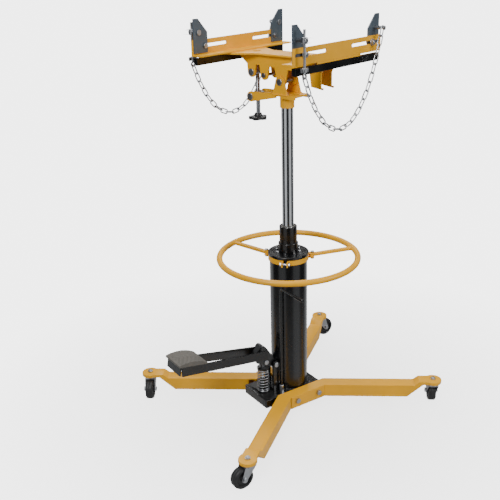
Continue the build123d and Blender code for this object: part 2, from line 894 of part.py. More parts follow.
with BuildPart() as release_rod:
    with BuildLine(Plane(origin=(valve_x, valve_y, 0), x_dir=(0, -1, 0), z_dir=(-1, 0, 0))):
        stem = FilletPolyline(
            (0, block_top + valve_h - valve_deep),
            (0, valve_top),
            (lever_l, valve_top),
            radius=lever_bend,
        )
    with BuildSketch(Plane(origin=stem @ 0, z_dir=stem % 0)):
        Circle(valve_rod_r)
    sweep(path=stem)
    with BuildSketch(facing(valve_y - lever_l + grip_l)):
        with Locations((valve_x, valve_top)):
            Circle(valve_rod_r + grip_wall)
    extrude(amount=grip_l)
    fillet(release_rod.faces().sort_by(Axis.Y)[0].edges(), grip_wall)
save(release_rod, "release_rod")

# ---- ring handle and its clamp ----------------------------------------------------------------
spoke_turns = [handle_turn - arm_tip, handle_turn + arm_tip]
root_turns = [handle_turn - arm_root, handle_turn + arm_root]
clamp_r = tank_r + seat


def around(radius, turn):
    """The point at that radius and turn about the ram's axis."""
    return radius * cos(radians(turn)), radius * sin(radians(turn))


root_r = clamp_r + band_t + root_out
with BuildPart() as handle_ring:
    with BuildSketch(Plane.XZ):
        with Locations((ring_r, ring_z)):
            Circle(ring_tube)
    revolve(axis=Axis.Z)
    for spoke, root in zip(spoke_turns, root_turns):
        start = around(root_r - 10, root)
        end = around(ring_r - 2, spoke)
        heading = degrees(atan2(end[1] - start[1], end[0] - start[0]))
        run = (cos(radians(heading)), sin(radians(heading)), 0)
        with BuildSketch(Plane(origin=(*start, ring_z), x_dir=run)):
            with Locations((hypot(end[0] - start[0], end[1] - start[1]) / 2, 0)):
                Rectangle(hypot(end[0] - start[0], end[1] - start[1]), spoke_w)
        extrude(amount=spoke_h / 2, both=True)
        with BuildSketch(Plane.XY.offset(ring_z - spoke_h / 2)):
            with Locations(around(root_r, root)):
                Circle(band_bolt_r + seat)
        extrude(amount=spoke_h, mode=Mode.SUBTRACT)
    with BuildSketch(Plane.XY.offset(ring_low)):
        Circle(clamp_r + band_t + 0.5)
    extrude(amount=band_h, mode=Mode.SUBTRACT)
save(handle_ring, "handle_ring")

with BuildPart() as clamp_band:
    with BuildSketch(Plane.XY.offset(ring_low)):
        Circle(clamp_r + band_t)
        with Locations(Location((0, 0, 0), (0, 0, handle_turn + 180))):
            with Locations((clamp_r + ear_len / 2 + 2, 0)):
                Rectangle(ear_len, ear_gap + 2 * band_t)
        Circle(clamp_r, mode=Mode.SUBTRACT)
        with Locations(Location((0, 0, 0), (0, 0, handle_turn + 180))):
            with Locations((clamp_r + ear_len / 2, 0)):
                Rectangle(ear_len + 20, ear_gap, mode=Mode.SUBTRACT)
    extrude(amount=band_h)
    for root in root_turns:
        for level in (ring_low, ring_z + spoke_h / 2):
            with BuildSketch(Plane.XY.offset(level)):
                with Locations(Location((0, 0, 0), (0, 0, root))):
                    with Locations((root_r - root_l / 4, 0)):
                        Rectangle(root_l, spoke_w)
                Circle(clamp_r, mode=Mode.SUBTRACT)
            extrude(amount=(band_h - spoke_h) / 2)
        with BuildSketch(Plane.XY.offset(ring_low)):
            with Locations(around(root_r, root)):
                Circle(band_bolt_r + seat)
        extrude(amount=band_h, mode=Mode.SUBTRACT)
    ear_mid = Plane(
        origin=(*around(clamp_r + ear_len - 6, handle_turn + 180), ring_z),
        z_dir=(-sin(radians(handle_turn)), cos(radians(handle_turn)), 0),
    )
    with BuildSketch(ear_mid):
        Circle(band_bolt_r + seat)
    extrude(amount=ear_gap, both=True, mode=Mode.SUBTRACT)
save(clamp_band, "clamp_band")

with BuildPart() as clamp_bolts:
    ear_half = ear_gap / 2 + band_t
    with BuildSketch(ear_mid):
        Circle(band_bolt_r)
    extrude(amount=ear_half + 3, both=True)
    for hand in (-1, 1):
        with BuildSketch(ear_mid.offset(hand * ear_half)):
            RegularPolygon(band_nut_r, 6)
        extrude(amount=hand * 6)
    for root in root_turns:
        with BuildSketch(Plane.XY.offset(ring_low)):
            with Locations(around(root_r, root)):
                Circle(band_bolt_r)
        extrude(amount=band_h)
        with BuildSketch(Plane.XY.offset(ring_z + band_h / 2)):
            with Locations(around(root_r, root)):
                RegularPolygon(band_nut_r, 6)
        extrude(amount=5)
        with BuildSketch(Plane.XY.offset(ring_low)):
            with Locations(around(root_r, root)):
                RegularPolygon(band_nut_r, 6)
        extrude(amount=-5)
save(clamp_bolts, "clamp_bolts")

# ---- saddle head: tilting base ----------------------------------------------------------------
base_z = socket_z + socket_h
with BuildPart() as tilt_base:
    with BuildSketch(Plane.XY.offset(socket_z)):
        Circle(socket_r)
    extrude(amount=socket_h)
    with BuildSketch(Plane.XY.offset(base_z)):
        with Locations((0, (base_y0 + base_y1) / 2)):
            Rectangle(2 * base_out, base_y1 - base_y0)
    extrude(amount=base_t)
    for hand in (-1, 1):
        with BuildSketch(across(hand * (base_out - base_t))):
            with Locations((0, tilt_z)):
                Circle(tilt_ear_r)
            with Locations((0, base_z + base_t / 2)):
                Rectangle(flange_l, base_t)
            make_hull()
        extrude(amount=hand * base_t)
        with BuildSketch(across(hand * (base_out - base_t))):
            with Locations((screw_y, low_z)):
                Circle(screw_ear_r)
            with Locations((base_y1 - base_out, base_z)):
                Rectangle(2 * flange_l / 3, 2 * base_t)
            make_hull()
        extrude(amount=hand * base_t)
        with BuildSketch(across(hand * (base_out - base_t))):
            with Locations((base_y0 + flange_l / 2, base_z)):
                Rectangle(flange_l, 2 * base_t)
        extrude(amount=hand * base_t)
    with BuildSketch(Plane.XY.offset(socket_z)):
        Circle(ram_r + fit)
    extrude(amount=socket_h - 3, mode=Mode.SUBTRACT)
    for y, z, radius in ((0, tilt_z, tilt_r + seat), (screw_y, low_z, journal_r + fit)):
        with BuildSketch(across(-base_out)):
            with Locations((y, z)):
                Circle(radius)
        extrude(amount=2 * base_out, mode=Mode.SUBTRACT)
save_head(tilt_base, "tilt_base")


def head_pin(y, z, radius, half, head):
    """A headed pin along the head's X, standing out the same on both sides."""
    with BuildPart() as pin:
        with BuildSketch(across(-half)):
            with Locations((y, z)):
                Circle(radius)
        extrude(amount=2 * half)
        for hand in (-1, 1):
            with BuildSketch(across(hand * half)):
                with Locations((y, z)):
                    Circle(head)
            extrude(amount=hand * pin_head_t)
        fillet(pin.faces().group_by(Axis.X)[0].edges() + pin.faces().group_by(Axis.X)[-1].edges(), 1.5)
    return pin


save_head(head_pin(0, tilt_z, tilt_r, base_out, tilt_head_r), "tilt_pin")


def trunnion(y, z, half, journal_half, bore):
    """A cross shaft along the head's X, with headed journals and an upright bore in its middle."""
    with BuildPart() as shaft:
        with BuildSketch(across(-half)):
            with Locations((y, z)):
                Circle(trunnion_r)
        extrude(amount=2 * half)
        with BuildSketch(across(-journal_half)):
            with Locations((y, z)):
                Circle(journal_r)
        extrude(amount=2 * journal_half)
        for hand in (-1, 1):
            with BuildSketch(across(hand * journal_half)):
                with Locations((y, z)):
                    Circle(trunnion_head_r)
            extrude(amount=hand * pin_head_t)
        fillet(shaft.faces().group_by(Axis.X)[0].edges() + shaft.faces().group_by(Axis.X)[-1].edges(), 1.5)
        with BuildSketch(Plane.XY.offset(z - 2 * trunnion_r)):
            with Locations((0, y)):
                Circle(bore)
        extrude(amount=4 * trunnion_r, mode=Mode.SUBTRACT)
    return shaft


inner_half = base_out - base_t - fit
save_head(trunnion(screw_y, low_z, inner_half, base_out + fit, screw_r + seat), "lower_trunnion")
upper_half = ear_out - ear_t - fit
upper_shaft = trunnion(screw_y, high_z, upper_half, ear_out + fit, screw_r + screw_slack)
save_head(upper_shaft, "upper_trunnion")

collar_z = low_z + trunnion_r
with BuildPart() as tilt_screw:
    with BuildSketch(Plane.XY.offset(knob_z + knob_skin)):
        with Locations((0, screw_y)):
            Circle(screw_r)
    extrude(amount=screw_top - knob_z - knob_skin)
    chamfer(tilt_screw.faces().sort_by(Axis.Z)[-1].edges(), 1.5)
    with BuildSketch(Plane.XY.offset(collar_z)):
        with Locations((0, screw_y)):
            Circle(screw_collar_r)
    extrude(amount=screw_collar_t)
save_head(tilt_screw, "tilt_screw")

with BuildPart() as tilt_knob:
    with BuildSketch(Plane.XY.offset(knob_z)):
        with Locations((0, screw_y)):
            Circle(knob_r - knob_lobe_r)
            with PolarLocations(knob_r - knob_lobe_r, knob_lobes):
                Circle(knob_lobe_r)
    extrude(amount=knob_t)
    fillet(tilt_knob.faces().sort_by(Axis.Z)[-1].edges(), 3)
    with BuildSketch(Plane.XY.offset(knob_z + knob_t)):
        with Locations((0, screw_y)):
            Circle(knob_hub_r)
    extrude(amount=knob_hub_h)
    with BuildSketch(Plane.XY.offset(knob_z + knob_skin)):
        with Locations((0, screw_y)):
            Circle(screw_r + seat)
    extrude(amount=knob_t + knob_hub_h - knob_skin, mode=Mode.SUBTRACT)
save_head(tilt_knob, "tilt_knob")

# ---- saddle head: plate, rails and their backing bars -----------------------------------------
plate_top = plate_z + plate_t
rail_in = rail_y - steel_t

stay_z = high_z - stay_drop
ear_spots = (
    (0, tilt_z, tilt_ear_r, ear_foot),
    (stay_y, stay_z, stay_ear_r, stay_ear_foot),
    (screw_y, high_z, screw_ear_r, screw_ear_foot),
)
ear_holes = (
    (0, tilt_z, tilt_r + fit),
    (screw_y, high_z, journal_r + fit),
    (stay_y, stay_z, stay_r + seat),
)

with BuildPart() as saddle_plate:
    with BuildSketch(Plane.XY.offset(plate_z)):
        Polygon(
            (-wing_half, -rail_y),
            (wing_half, -rail_y),
            (waist_half, -waist_y),
            (waist_half, waist_y),
            (wing_half, rail_y),
            (-wing_half, rail_y),
            (-waist_half, waist_y),
            (-waist_half, -waist_y),
            align=None,
        )
    extrude(amount=plate_t)
    for hand in (-1, 1):
        ear = across(hand * (ear_out - ear_t))
        with BuildSketch(ear):
            Polygon(
                (-rail_y + 20, plate_z),
                (web_y0, skirt_low - 10),
                (web_y0, web_low),
                (web_y0 - 8, web_low),
                (web_y0 - 8, web_low - 6),
                (web_y1, web_low),
                (web_y1 + 6, skirt_low - 14),
                (rail_y - 60, skirt_low),
                (rail_y - 20, plate_z),
                align=None,
            )
        extrude(amount=hand * ear_t)
        for y, z, radius, span in ear_spots:
            with BuildSketch(ear):
                with Locations((y, z)):
                    Circle(radius)
                with Locations((y, plate_z - 4)):
                    Rectangle(span, 8)
                make_hull()
            extrude(amount=hand * ear_t)
    for y, z, radius in ear_holes:
        with BuildSketch(across(-ear_out)):
            with Locations((y, z)):
                Circle(radius)
        extrude(amount=2 * ear_out, mode=Mode.SUBTRACT)
    with BuildSketch(Plane.XY.offset(plate_z)):
        with Locations((0, screw_y)):
            Circle(screw_hole)
    extrude(amount=plate_t, mode=Mode.SUBTRACT)
save_head(saddle_plate, "saddle_plate")

with BuildPart() as ear_bolt:
    with BuildSketch(across(-ear_out)):
        with Locations((stay_y, stay_z)):
            Circle(stay_r)
    extrude(amount=2 * ear_out)
    for hand in (-1, 1):
        with BuildSketch(across(hand * ear_out)):
            with Locations((stay_y, stay_z)):
                RegularPolygon(stay_nut_r, 6)
        extrude(amount=hand * stay_nut_t)

slot_x = rail_half - slot_end - slot_l / 2
with BuildPart() as saddle_rails:
    for hand in (-1, 1):
        with BuildSketch(across(-rail_half)):
            Polygon(
                (hand * (rail_y - flat_w), plate_top),
                (hand * rail_y, plate_top),
                (hand * rail_y, plate_top + rail_h),
                (hand * rail_in, plate_top + rail_h),
                (hand * rail_in, plate_top + steel_t),
                (hand * (rail_y - flat_w), plate_top + steel_t),
                align=None,
            )
        extrude(amount=2 * rail_half)
        with BuildSketch(facing(hand * rail_in)):
            with Locations((-slot_x, slot_z), (slot_x, slot_z)):
                SlotOverall(slot_l, slot_h)
        extrude(amount=-hand * steel_t, mode=Mode.SUBTRACT)
save_head(saddle_rails, "saddle_rails")

with BuildPart() as rail_backing:
    for hand in (-1, 1):
        with BuildSketch(across(-rail_half + backing_trim)):
            with Locations((hand * (rail_y - backing_w / 2), plate_z - backing_h / 2)):
                Rectangle(backing_w, backing_h)
        extrude(amount=2 * (rail_half - backing_trim))
save_head(rail_backing, "rail_backing")

# ---- saddle head: corner brackets, their bolts and the chain posts ----------------------------
bracket_z = plate_top + steel_t + bracket_lift
clamp_x = rail_half - rail_trim - clamp_in
post_x = rail_half - rail_trim - post_in
hang_y = rail_in + post_l - hook_in


def bracket(end, side):
    """One corner bracket, flat against its rail's inner face, highest at the saddle's corner."""
    outer = end * (rail_half - rail_trim)
    step = -end * bracket_w
    with BuildPart() as corner:
        with BuildSketch(facing(side * rail_in)):
            Polygon(
                (outer, bracket_z),
                (outer + step, bracket_z),
                (outer + step, bracket_z + 0.6 * bracket_h),
                (outer + 0.34 * step, bracket_z + bracket_h),
                (outer, bracket_z + bracket_h),
                align=None,
            )
        extrude(amount=side * steel_t)
        with BuildSketch(facing(side * rail_in)):
            with Locations((end * clamp_x, slot_z)):
                Circle(clamp_bolt_r + seat)
            with Locations((end * post_x, post_z)):
                Circle(post_r + seat)
        extrude(amount=side * steel_t, mode=Mode.SUBTRACT)
    return corner.part


def clamp_bolt(end, side):
    """The bolt through bracket and slot: head inside, washer and nut outside."""
    spot = (end * clamp_x, slot_z)
    inside = side * (rail_in - steel_t)
    outside = side * rail_y
    with BuildPart() as bolt:
        with BuildSketch(facing(inside)):
            with Locations(spot):
                Circle(clamp_bolt_r)
        extrude(amount=-side * (2 * steel_t + washer_t + clamp_nut_t + 2))
        for level, height in (
            (inside, side * clamp_head_t),
            (outside + side * washer_t, -side * clamp_nut_t),
        ):
            with BuildSketch(facing(level)):
                with Locations(spot):
                    RegularPolygon(clamp_head_r, 6)
            extrude(amount=height)
        with BuildSketch(facing(outside)):
            with Locations(spot):
                Circle(washer_r)
        extrude(amount=-side * washer_t)
    return bolt.part


def chain_post(end, side):
    """The stub through the bracket's upper hole, with a flat head inside."""
    spot = (end * post_x, post_z)
    inside = side * (rail_in - steel_t)
    with BuildPart() as post:
        with BuildSketch(facing(inside)):
            with Locations(spot):
                Circle(post_r)
        extrude(amount=-side * (steel_t + post_l - hook_in - 6))
        with BuildSketch(facing(inside)):
            with Locations(spot):
                Circle(pin_neck_r)
        extrude(amount=-side * (steel_t + post_l))
        with BuildSketch(facing(side * (hang_y + 6))):
            with Locations(spot):
                Circle(post_r + 1)
        extrude(amount=-side * flange_in)
        with BuildSketch(facing(inside)):
            with Locations(spot):
                Circle(post_r + 3)
        extrude(amount=side * 4)
    return post.part


def group(*pieces):
    """Separate solids that share one node."""
    with BuildPart() as node:
        add(pieces)
    return node


eye_z = rod_low - hook_eye_r - 1


def hook_rod(side):
    """The upright rod that takes up the chain: an eye at its foot and a wing nut at its top."""
    rod_y = side * hang_y
    with BuildPart() as rod:
        with BuildSketch(Plane.XY.offset(post_z - hub_h / 2)):
            with Locations((-post_x, rod_y)):
                Circle(hub_r)
        extrude(amount=hub_h)
        with BuildSketch(Plane.XY.offset(rod_low)):
            with Locations((-post_x, rod_y)):
                Circle(rod_r)
        extrude(amount=rod_high - rod_low)
        with BuildSketch(Plane(origin=(-post_x, rod_y, eye_z), z_dir=(0, 1, 0))):
            Circle(hook_eye_r + hook_eye_w)
            Circle(hook_eye_r, mode=Mode.SUBTRACT)
        extrude(amount=hook_eye_half, both=True)
        with BuildSketch(Plane.XY.offset(rod_low + wing_up)):
            with Locations((-post_x, rod_y)):
                Circle(wing_r)
                Rectangle(wing_w, wing_t)
        extrude(amount=wing_h)
    return rod.part


for side, name in ((1, "left"), (-1, "right")):
    save_head(group(bracket(-1, side)), f"front_bracket_{name}")
    save_head(group(clamp_bolt(-1, side), chain_post(-1, side), hook_rod(side)), f"hook_rod_{name}")
save_head(group(bracket(1, 1), bracket(1, -1)), "rear_brackets")
rear = [piece(1, side) for piece in (clamp_bolt, chain_post) for side in (-1, 1)]
save_head(group(ear_bolt.part, *rear), "saddle_bolts")

# ---- chains -----------------------------------------------------------------------------------
link_pitch = 2 * (link_half + link_r - link_wire) - link_gap
near_end = (-post_x, eye_z - hook_eye_r + near_play)
far_out = pin_neck_r + link_play
far_end = (post_x + far_out * cos(radians(far_slope)), post_z + far_out * sin(radians(far_slope)))


def hanging(start, end, length):
    """The catenary of that length between two points (x, z), as a function of the run along it."""
    span = end[0] - start[0]
    rise = end[1] - start[1]
    chord = sqrt(length**2 - rise**2)
    low, high = 1e-3, 20.0
    for _ in range(60):
        half = (low + high) / 2
        if sinh(half) / half < chord / span:
            low = half
        else:
            high = half
    scale = span / (2 * half)
    middle = (start[0] + end[0]) / 2 - scale * asinh(rise / (2 * scale * sinh(half)))
    base = start[1] - scale * cosh((start[0] - middle) / scale)
    run_0 = scale * sinh((start[0] - middle) / scale)

    def at(run):
        x = middle + scale * asinh((run + run_0) / scale)
        return x, base + scale * cosh((x - middle) / scale)

    return at


with BuildPart() as one_link:
    with BuildLine() as loop:
        Line((-link_half, link_r), (link_half, link_r))
        CenterArc((link_half, 0), link_r, -90, 180)
        Line((link_half, -link_r), (-link_half, -link_r))
        CenterArc((-link_half, 0), link_r, 90, 180)
    with BuildSketch(Plane(origin=(0, link_r, 0), z_dir=(1, 0, 0))):
        Circle(link_wire)
    sweep(path=loop.wire())

chain_run = hanging(near_end, far_end, link_count * link_pitch)


def chain(side):
    """Links hung from the hook rod's eye to the rear post, each turned a quarter from the last."""
    places = []
    for number in range(link_count):
        run = (number + 0.5) * link_pitch
        x, z = chain_run(run)
        ahead = chain_run(run + 1)
        behind = chain_run(run - 1)
        along = (ahead[0] - behind[0], 0, ahead[1] - behind[1])
        flat = (0, 1, 0) if number % 2 else (-along[2], 0, along[0])
        places.append(Plane(origin=(x, side * hang_y, z), x_dir=along, z_dir=flat))
    with BuildPart() as hung:
        with Locations(*places):
            add(one_link.part)
    return hung


for side, name in ((1, "left"), (-1, "right")):
    save_head(chain(side), f"chain_{name}")
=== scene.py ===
"""Visible model of a telescopic transmission jack: finishes, worked edges and the small detail pieces.

Everything is in metres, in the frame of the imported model: +Z up, the ram's axis at the origin and
the pedal towards -X.
"""

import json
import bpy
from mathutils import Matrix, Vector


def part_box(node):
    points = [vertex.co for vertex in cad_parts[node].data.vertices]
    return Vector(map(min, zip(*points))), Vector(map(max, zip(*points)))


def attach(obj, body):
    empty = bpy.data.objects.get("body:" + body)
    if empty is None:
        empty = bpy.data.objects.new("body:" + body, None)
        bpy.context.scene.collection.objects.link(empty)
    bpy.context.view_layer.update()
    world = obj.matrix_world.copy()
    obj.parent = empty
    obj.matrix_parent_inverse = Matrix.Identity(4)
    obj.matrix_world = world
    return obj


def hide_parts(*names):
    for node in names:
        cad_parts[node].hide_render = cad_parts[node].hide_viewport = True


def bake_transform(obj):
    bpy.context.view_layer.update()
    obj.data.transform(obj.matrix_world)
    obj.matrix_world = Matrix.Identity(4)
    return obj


bl_info = {
    "name": "Transmission jack",
    "version": (1, 0, 0),
    "blender": (4, 5, 0),
    "location": "View3D > Sidebar > Jack",
    "description": "Builds the visible pieces of a foot-pumped transmission jack",
    "category": "Object",
}

from math import cos, pi, radians, sin

import bmesh
import bpy
from mathutils import Matrix, Vector

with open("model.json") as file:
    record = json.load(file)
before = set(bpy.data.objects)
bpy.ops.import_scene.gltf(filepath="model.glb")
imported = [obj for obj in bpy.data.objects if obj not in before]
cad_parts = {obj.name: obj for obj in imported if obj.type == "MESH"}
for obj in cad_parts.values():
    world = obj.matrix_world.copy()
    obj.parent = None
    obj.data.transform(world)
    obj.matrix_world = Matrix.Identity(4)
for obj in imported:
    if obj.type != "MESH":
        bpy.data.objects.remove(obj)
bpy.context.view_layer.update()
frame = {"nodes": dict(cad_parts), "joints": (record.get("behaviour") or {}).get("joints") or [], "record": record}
nodes = frame["nodes"]
bodies = frame["record"]["behaviour"]["bodies"]
body_of = {node: body for body, group in bodies.items() for node in group}
corners = ("front_left", "front_right", "rear_left", "rear_right")
Z = Vector((0, 0, 1))


def middle(node):
    """The centre of a node's box."""
    low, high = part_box(node)
    return (Vector(low) + Vector(high)) / 2


def joint(name):
    """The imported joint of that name."""
    return next(j for j in frame["joints"] if j["name"] == name)


head = Vector(joint("saddle_tilt")["axis"]).to_track_quat("X", "Z").to_matrix().to_4x4()


# ---- user settings ---------------------------------------------------------------------------

class JackSizes(bpy.types.PropertyGroup):
    edge: bpy.props.FloatProperty(
        name="Edge radius", description="Rounding of cut and pressed steel edges",
        default=0.0007, min=0.0001, unit="LENGTH")
    bead: bpy.props.FloatProperty(
        name="Weld bead", description="Half width of the weld beads", default=0.0032, unit="LENGTH")
    thread: bpy.props.FloatProperty(
        name="Thread pitch", description="Rise of the tilt screw's thread in one turn",
        default=0.003, unit="LENGTH")
    groove: bpy.props.FloatProperty(
        name="Tread groove", description="Depth of the grooves in the pedal's rubber",
        default=0.0026, unit="LENGTH")
    lens: bpy.props.FloatProperty(
        name="Camera lens", description="Focal length on a 36 mm wide film", default=56.6, min=10)


class JackColours(bpy.types.PropertyGroup):
    yellow: bpy.props.FloatVectorProperty(
        name="Yellow", description="Paint of the legs, handle and saddle", subtype="COLOR",
        default=(0.95, 0.45, 0.0))
    black: bpy.props.FloatVectorProperty(
        name="Black", description="Paint of the pump, tank and pedal", subtype="COLOR",
        default=(0.004, 0.004, 0.0045))
    slate: bpy.props.FloatVectorProperty(
        name="Slate", description="Paint of the corner brackets", subtype="COLOR",
        default=(0.075, 0.1, 0.125))
    zinc: bpy.props.FloatVectorProperty(
        name="Zinc", description="Plating of bolts, chains and forks", subtype="COLOR",
        default=(0.46, 0.47, 0.49))
    chrome: bpy.props.FloatVectorProperty(
        name="Chrome", description="Plating of the ram", subtype="COLOR", default=(0.78, 0.79, 0.81))
    rubber: bpy.props.FloatVectorProperty(
        name="Rubber", description="Rubber of the pedal's pad", subtype="COLOR",
        default=(0.13, 0.12, 0.105))
    bronze: bpy.props.FloatVectorProperty(
        name="Bronze", description="Metal of the guide bush", subtype="COLOR",
        default=(0.5, 0.31, 0.12))


# ---- shader maths ----------------------------------------------------------------------------

class Wire:
    """A node's output socket, so that an expression on it adds the maths nodes."""

    def __init__(self, tree, socket):
        self.tree = tree
        self.socket = socket

    def maths(self, operation, first, second):
        step = self.tree.nodes.new("ShaderNodeMath")
        step.operation = operation
        for place, value in enumerate((first, second)):
            if isinstance(value, Wire):
                self.tree.links.new(value.socket, step.inputs[place])
            else:
                step.inputs[place].default_value = value
        return Wire(self.tree, step.outputs[0])

    def __add__(self, other):
        return self.maths("ADD", self, other)

    def __rsub__(self, other):
        return self.maths("SUBTRACT", other, self)

    def __mul__(self, other):
        return self.maths("MULTIPLY", self, other)

    def at_most(self, other):
        return self.maths("MINIMUM", self, other)

    def at_least(self, other):
        return self.maths("MAXIMUM", self, other)

    def angle(self, other):
        return self.maths("ARCTAN2", self, other)

    def sine(self):
        return self.maths("SINE", self, 0.0)

    __radd__ = __add__
    __rmul__ = __mul__


class Finish:
    """A material under construction, around one Principled shader."""

    def __init__(self, name, colour, roughness, metallic=0.0, coat=0.0):
        self.material = bpy.data.materials.new(name)
        self.material.use_nodes = True
        self.tree = self.material.node_tree
        self.shader = self.tree.nodes["Principled BSDF"]
        self.colour = (*colour, 1.0)
        self.shader.inputs["Base Color"].default_value = self.colour
        self.shader.inputs["Roughness"].default_value = roughness
        self.shader.inputs["Metallic"].default_value = metallic
        self.shader.inputs["Coat Weight"].default_value = coat
        self.shader.inputs["Coat Roughness"].default_value = 0.12
        self.place = self.node("ShaderNodeTexCoord", {}, {}, "Object")
        self.material.diffuse_color = self.colour

    def node(self, kind, settings, inputs, output=0):
        """Add a node of that type with its settings, then the values or links of its sockets."""
        made = self.tree.nodes.new(kind)
        for key, value in settings.items():
            setattr(made, key, value)
        for key, value in inputs.items():
            if isinstance(value, Wire):
                self.tree.links.new(value.socket, made.inputs[key])
            else:
                made.inputs[key].default_value = value
        return Wire(self.tree, made.outputs[output])

    def stretched(self, scale):
        """Object coordinates, scaled by three numbers."""
        return self.node("ShaderNodeMapping", {}, {"Vector": self.place, "Scale": scale})

    def noise(self, scale, detail=3.0, place=None):
        inputs = {"Vector": place or self.place, "Scale": scale, "Detail": detail}
        return self.node("ShaderNodeTexNoise", {}, inputs, "Fac")

    def band(self, value, low, high):
        """0 below low and 1 above high, straight between them."""
        inputs = {"Value": value, "From Min": low, "From Max": high}
        return self.node("ShaderNodeMapRange", {"clamp": True}, inputs, "Result")

    def mix(self, mask, first, second):
        return self.node("ShaderNodeMix", {"data_type": "RGBA"}, {0: mask, 6: first, 7: second}, 2)

    def feed(self, socket, value):
        self.tree.links.new(value.socket, self.shader.inputs[socket])

    def bump(self, height, strength, distance):
        inputs = {"Height": height, "Strength": strength, "Distance": distance}
        self.feed("Normal", self.node("ShaderNodeBump", {}, inputs, "Normal"))

    def edges(self, radius):
        """1 on sharp edges and 0 on flats, broken up by noise."""
        rounded = self.node("ShaderNodeBevel", {"samples": 4}, {"Radius": radius}, "Normal")
        facing = self.node("ShaderNodeNewGeometry", {}, {}, "Normal")
        settings = {"operation": "DOT_PRODUCT"}
        dot = self.node("ShaderNodeVectorMath", settings, {0: rounded, 1: facing}, "Value")
        worn = self.band(1 - dot, 0.02, 0.16)
        return worn * self.band(self.noise(55.0, 5.0), 0.5, 0.62)

    def dust(self, height):
        """Workshop dust that fades out upwards to that height."""
        level = self.node("ShaderNodeSeparateXYZ", {}, {"Vector": self.place}, "Z")
        return self.band(level, height, 0.0) * self.band(self.noise(22.0, 6.0), 0.42, 0.75)


def paint(name, colour, bare, roughness, coat):
    """Sprayed paint with orange peel, faint uneven gloss, worn edges and dust low down."""
    finish = Finish(name, colour, roughness, coat=coat)
    cloud = finish.band(finish.noise(7.0, 4.0), 0.35, 0.7)
    deep = tuple(0.84 * part for part in colour) + (1.0,)
    shade = finish.mix(cloud, finish.colour, deep)
    dusty = finish.mix(finish.dust(0.1) * 0.12, shade, (0.3, 0.25, 0.18, 1.0))
    finish.feed("Base Color", finish.mix(finish.edges(0.0012) * 0.7, dusty, (*bare, 1.0)))
    smear = finish.band(finish.noise(16.0, 6.0), 0.3, 0.75)
    finish.feed("Roughness", smear * 0.14 + (roughness - 0.06))
    finish.bump(finish.noise(420.0, 2.0), 0.05, 0.0006)
    return finish.material


def plating(name, colour, roughness, grain):
    """Plated steel: mottled gloss and fine grain from its drawing or turning."""
    finish = Finish(name, colour, roughness, metallic=1.0)
    dull = tuple(0.72 * part for part in colour) + (1.0,)
    blotch = finish.band(finish.noise(60.0, 5.0), 0.35, 0.75)
    finish.feed("Base Color", finish.mix(blotch * 0.5, finish.colour, dull))
    fine = finish.noise(1.0, 2.0, finish.stretched(grain))
    finish.feed("Roughness", blotch * 0.14 + fine * 0.08 + (roughness - 0.06))
    finish.bump(fine, 0.05, 0.0003)
    return finish.material


def moulding(name, colour, roughness, grain, depth):
    """Moulded rubber or plastic with a fine sparked texture and scuffs."""
    finish = Finish(name, colour, roughness)
    scuff = finish.band(finish.noise(38.0, 7.0), 0.5, 0.78)
    pale = tuple(0.02 + 1.4 * part for part in colour) + (1.0,)
    finish.feed("Base Color", finish.mix(scuff * 0.4 + finish.dust(0.06) * 0.2, finish.colour, pale))
    finish.feed("Roughness", scuff * 0.12 + (roughness - 0.04))
    finish.bump(finish.noise(grain, 3.0), depth, 0.0005)
    return finish.material


finishes = {}


def make_finishes(colours):
    zinc = tuple(colours.zinc)
    finishes.update(
        yellow_paint=paint("Yellow enamel", tuple(colours.yellow), (0.25, 0.1, 0.01), 0.45, 0.04),
        black_paint=paint("Black enamel", tuple(colours.black), (0.06, 0.058, 0.055), 0.27, 0.4),
        slate_paint=paint("Slate enamel", tuple(colours.slate), (0.28, 0.29, 0.3), 0.36, 0.15),
        zinc=plating("Zinc plate", zinc, 0.3, (180, 180, 180)),
        chromed_steel=plating("Hard chrome", tuple(colours.chrome), 0.12, (14, 14, 900)),
        hidden_steel=plating("Ground steel", (0.42, 0.43, 0.45), 0.35, (60, 60, 700)),
        bronze=plating("Bearing bronze", tuple(colours.bronze), 0.35, (40, 40, 600)),
        grey_rubber=moulding("Grey rubber", tuple(colours.rubber), 0.72, 700.0, 0.25),
        black_plastic=moulding("Black plastic", (0.014, 0.014, 0.015), 0.42, 900.0, 0.12),
        wheel_black=moulding("Tread compound", (0.016, 0.016, 0.017), 0.5, 600.0, 0.15),
    )


# ---- mesh helpers ----------------------------------------------------------------------------

weld_gap = 1e-6
slot_of = {part["node"]: part["material_slot"] for part in frame["record"]["subparts"]}


def finish_piece(mesh, name, slot, body, sharp=32.0):
    """Turn a bmesh into a shaded object that rides on a body."""
    data = bpy.data.meshes.new(name)
    mesh.to_mesh(data)
    mesh.free()
    data.materials.append(finishes[slot])
    data.polygons.foreach_set("use_smooth", [True] * len(data.polygons))
    data.set_sharp_from_angle(angle=radians(sharp))
    piece = bpy.data.objects.new(name, data)
    bpy.context.scene.collection.objects.link(piece)
    if body:
        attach(piece, body)
    return piece


def merged(node):
    """A bmesh of a node's own surface, with its triangles joined into clean flats."""
    mesh = bmesh.new()
    mesh.from_mesh(nodes[node].data)
    bmesh.ops.remove_doubles(mesh, verts=mesh.verts, dist=weld_gap)
    bmesh.ops.dissolve_limit(
        mesh, angle_limit=radians(0.5), verts=mesh.verts, edges=mesh.edges,
        use_dissolve_boundaries=False)
    return mesh


